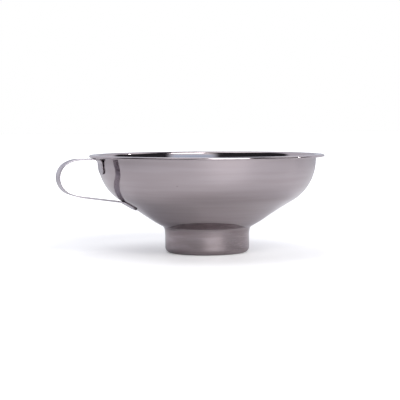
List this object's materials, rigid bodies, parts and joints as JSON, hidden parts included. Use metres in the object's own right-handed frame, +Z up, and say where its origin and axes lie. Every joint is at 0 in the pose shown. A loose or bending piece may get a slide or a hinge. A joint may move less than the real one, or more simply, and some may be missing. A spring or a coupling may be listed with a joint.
{
  "type": "canning funnel",
  "caption": "Wide stainless steel canning funnel: a round flanged bowl, a short neck that enters a jar's mouth, and a spot-welded strap handle.",
  "frame": {"origin": "centre of the neck's foot, on the funnel's axis, in the plane it stands on", "axes": "+Z up along the funnel's axis from the neck to the rim, the handle along -X, Y across the handle"},
  "size_m": [0.1663, 0.145, 0.0605],
  "materials": {
    "bowl_steel": "bright-polished stainless sheet with fine spinning lines round the axis",
    "strap_steel": "tumbled satin stainless strip",
    "weld_steel": "resistance-welded stainless, cleaned"
  },
  "bodies": {
    "root": {"funnel_body": "bowl_steel", "handle_strap": "strap_steel", "upper_weld_nuggets": "weld_steel", "lower_weld_nuggets": "weld_steel"}
  },
  "joints": []
}
